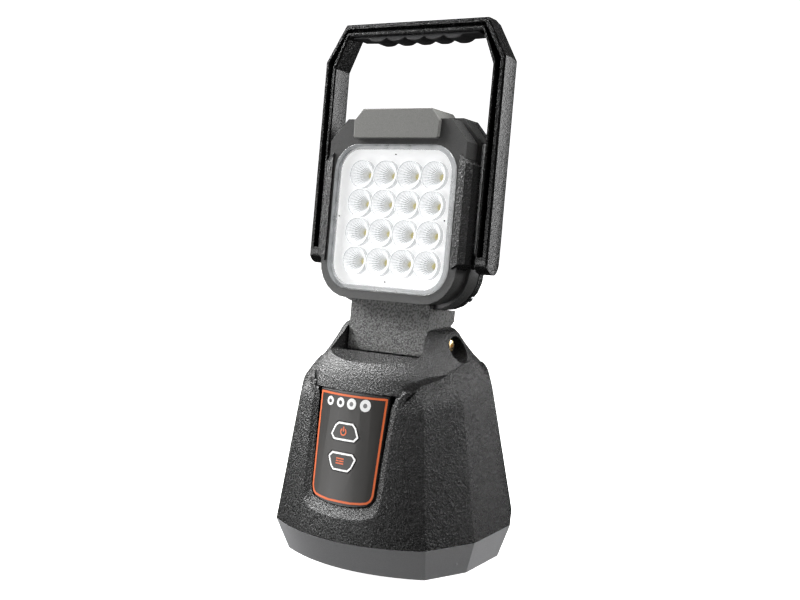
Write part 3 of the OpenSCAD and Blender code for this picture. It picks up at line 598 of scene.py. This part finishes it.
# Painted sheen: soft upright streaks paint the film's colour lighter and darker. The same streaks vary its
# gloss.
film_grey.feed("Base Color", film_grey.mix(film_sheen_streaks, (0.02, 0.019, 0.018, 1), (0.055, 0.051, 0.047, 1)))
film_grey.feed("Roughness", film_grey.between(film_sheen_streaks, 0.3, 0.7, 0.3, 0.42))
film_grey.feed("Normal", film_grey.bump(film_grain, 0.00002))
overlay = from_node("control_overlay", "panel_film", "base", "control_overlay", film_grey.material, 0.0003,
                    flat=0.5)
frame_black = moulded("frame_black", (0.006, 0.006, 0.006), rough=0.3, grain=0.0005, depth=0.00004)
from_node("panel_frame", "panel_surround", "base", "inner_plastic", frame_black, 0.0002, 1, 40)
keys = {}
for node, name, body in (("power_button", "power_keycap", "power_key"),
                         ("mode_button", "mode_keycap", "mode_key")):
    keys[body] = from_node(node, name, body, "key_film", film_grey.material, 0.0003, 3, flat=0.5)
# The rings glow faintly: painted light that keeps their white bright.
ring_white = Finish("ring_white", Roughness=0.35, Emission_Strength=0.12)
ring_grain = ring_white.noise(0.0006, detail=2)
ring_colour = ring_white.mix(ring_grain, (0.86, 0.86, 0.85, 1), (0.97, 0.97, 0.96, 1))
ring_white.feed("Base Color", ring_colour)
ring_white.feed("Emission Color", ring_colour)
ring_white.feed("Roughness", ring_white.between(ring_grain, 0.3, 0.7, 0.28, 0.42))
lights = from_node("charge_lights", "charge_light_guides", "base", "charge_lights", ring_white.material,
                   0.0001, 1, 40)


def front_of(piece):
    """A function that gives the y of a piece's front face at x and z, in metres."""
    tree = BVHTree.FromObject(piece, bpy.context.evaluated_depsgraph_get())

    def front(x, z):
        hit = tree.ray_cast(Vector((x, -0.2, z)), Vector((0, 1, 0)))[0]
        return hit.y if hit else None
    return front


def printed(name, paths, material, surface, body, slot, lift=0.00005):
    """Lines of ink on a piece. paths holds (points as (x, z), line width, whether it is closed), in mm."""
    front = front_of(surface)
    step = 0.5
    form = bmesh.new()
    for points, width, closed in paths:
        ends = [Vector(p) for p in points]
        spans = list(zip(ends, ends[1:] + ends[:1] if closed else ends[1:]))
        line = []
        for start, end in spans:
            count = max(1, int((end - start).length / step))
            line += [start.lerp(end, k / count) for k in range(count)]
        if not closed:
            line.append(ends[-1])
        pairs = []
        last = len(line) - 1
        for k, here in enumerate(line):
            before = line[k - 1] if closed or k else here
            after = line[(k + 1) % len(line)] if closed or k < last else here
            run = (after - before).normalized()
            side = Vector((-run.y, run.x)) * width / 2
            pair = []
            for spot in (here + side, here - side):
                y = front(spot.x / 1000, spot.y / 1000)
                if y is None:
                    y = front(here.x / 1000, here.y / 1000)
                pair.append(form.verts.new((spot.x / 1000, y - lift, spot.y / 1000)))
            pairs.append(pair)
        for k in range(len(pairs) if closed else last):
            (a, b), (c, d) = pairs[k], pairs[(k + 1) % len(pairs)]
            form.faces.new((a, b, d, c))
    for face in form.faces:
        face.normal_update()
        if face.normal.y > 0:
            face.normal_flip()
    return fitted(made(name, form), body, slot, material)


def ink(name, colour, glow=0.1):
    """Silk-screen ink, a little uneven. glow is a painted glow: light the ink gives off, which keeps it
    bright.
    """
    finish = Finish(name, Specular_IOR_Level=0.4, Emission_Strength=glow)
    grain = finish.noise(0.0008, detail=3)
    cover = finish.mix(grain, (*(c * 0.85 for c in colour), 1), (*colour, 1))
    finish.feed("Base Color", cover)
    finish.feed("Emission Color", cover)
    finish.feed("Roughness", finish.between(grain, 0.3, 0.7, 0.35, 0.5))
    return finish.material


orange_ink = ink("orange_ink", (0.82, 0.16, 0.045))
# The white ink has the strongest painted glow.
white_ink = ink("white_ink", (0.9, 0.9, 0.89), 0.45)
dark_ink = ink("dark_ink", (0.05, 0.05, 0.05))
grey_ink = ink("grey_ink", (0.22, 0.22, 0.22))
half_outline = [(23.4, 102.5), (21.7, 48.3), (21.3, 46.4), (20.3, 44.6), (18.6, 43.3), (14.5, 42.5),
                (8, 41.9)]
outline = half_outline + [(-x, z) for x, z in reversed(half_outline)]
printed("panel_outline", [(outline, 1.25, True)], orange_ink, overlay, "base", "control_overlay")
lights_z, keys_x = 98, -1.5
light_holes = [(-15.4, 1.15), (-7.2, 1.25), (1.0, 1.35), (10.5, 1.35)]
printed("charge_light_dots", [(circle(x, lights_z, hole / 2), hole, True) for x, hole in light_holes[:2]],
        dark_ink, lights, "base", "charge_lights")
printed("charge_light_centres", [(circle(x, lights_z, hole / 2), hole, True) for x, hole in light_holes[2:]],
        grey_ink, lights, "base", "charge_lights")


def key_outline(z, flip):
    """A key's six-sided outline in mm round its middle, wide side down, or up where flip is -1."""
    half = [(5.1, 4.7), (7.2, 2.7), (9.5, -2.3), (7.1, -4.7)]
    points = half + [(-x, h) for x, h in reversed(half)]
    return [(x + keys_x, z + flip * h) for x, h in points]


key_lift = 0.0001
power_z, mode_z, sign_x = 81.8, 64.4, -2.4
for body, z, flip in (("power_key", power_z, 1), ("mode_key", mode_z, -1)):
    printed(body + "_outline", [(key_outline(z, flip), 1.05, True)], white_ink, keys[body], body, "key_film",
            key_lift)
power_sign = [(circle(sign_x, power_z - 0.2, 1.9, 120, 420), 0.85, False),
              ([(sign_x, power_z + 2.8), (sign_x, power_z)], 0.85, False)]
bar_left, bar_right, gap_left, gap_right = -5.3, 0.3, -3.3, -2.8
bar_top, bar_middle, bar_low = mode_z + 1.8, mode_z + 0.4, mode_z - 1
mode_sign = [([(bar_left, bar_top), (bar_right, bar_top)], 0.8, False),
             ([(bar_left, bar_middle), (gap_left, bar_middle)], 0.75, False),
             ([(gap_right, bar_middle), (bar_right, bar_middle)], 0.75, False),
             ([(bar_left, bar_low), (bar_right, bar_low)], 0.8, False)]
for body, sign in (("power_key", power_sign), ("mode_key", mode_sign)):
    printed(body + "_sign", sign, orange_ink, keys[body], body, "key_film", key_lift)


# ---- handle
# A moulded bow with a groove between two rims on its front and a step on its side. A soft grip with finger
# lobes is pressed into its top, and two steel pins hold its legs to the bezel.
handle_black = moulded("handle_black", (0.004, 0.004, 0.004),
                       rough=0.22, grain=0.001, depth=0.00035, tips=0.01)
from_node("handle_frame", "bow_handle", "handle", "handle_frame", handle_black, 0.0004, 3, 22)
grip_rubber = moulded("grip_rubber", (0.022, 0.022, 0.023), rough=0.6, grain=0.0006, depth=0.0002)
from_node("grip_insert", "finger_grip", "handle", "grip_insert", grip_rubber, 0.0006, 3, 35, flat=0.5)
from_node("handle_pins", "handle_pivot_pins", "head", "zinc_screw", zinc, 0.0003)
from_node("handle_washers", "handle_spacers", "head", "zinc_screw", zinc, 0.0001, 1)
from_node("hinge_washers", "hinge_spacers", "base", "zinc_screw", zinc, 0.0001, 1)


# ---- charging port
# A charging socket with a steel shell in the back of the housing. A rubber flap on a moulded hinge keeps
# water and dust out of it.
from_node("port_cover", "port_flap_rubber", "port_flap", "black_rubber", rubber, 0.0005, 3)
socket_steel = metal("socket_steel", (0.66, 0.66, 0.68), rough=0.2)
from_node("charge_socket", "charging_socket", "base", "charge_socket", socket_steel, 0.0001, 1)


# ---- inside the base
# Four wrapped cells stand in a plastic holder, joined by spot-welded nickel links. The charging board, the
# control board with its switches and the chassis plate under the yoke are round them.
cell_wrap = moulded("cell_wrap", (0.02, 0.09, 0.3), rough=0.3, grain=0.003, depth=0.00002, mottle=0.12)
cell_nickel = metal("cell_nickel", (0.72, 0.7, 0.66), rough=0.25, stretch=(6, 1, 1))
board_green = moulded("board_green", (0.012, 0.11, 0.05),
                      rough=0.35, grain=0.0012, depth=0.00003, mottle=0.25)
inner_black = moulded("inner_black", (0.03, 0.03, 0.032), rough=0.5, grain=0.0008, depth=0.0001)
switch_steel = metal("switch_steel", (0.6, 0.6, 0.62), rough=0.3)
for node, name, slot, material, radius in (
        ("battery_cells", "cell_pack", "battery_cells", cell_wrap, 0.0006),
        ("cell_holder", "cell_cradle", "inner_plastic", inner_black, 0.0004),
        ("cell_links", "nickel_links", "cell_links", cell_nickel, 0.0001),
        ("charge_board", "charging_board", "green_board", board_green, 0.0001),
        ("control_board", "key_board", "green_board", board_green, 0.0001),
        ("tact_switches", "key_switches", "tact_switches", switch_steel, 0.0002),
        ("chassis_plate", "inner_chassis", "inner_plastic", inner_black, 0.0004),
        ("yoke_screws", "yoke_screw_set", "zinc_screw", zinc, 0.0002)):
    from_node(node, name, "base", slot, material, radius)


# ---- the overall box
# The light's overall size with every piece in place, as its lowest and highest corners in metres.
low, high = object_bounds()
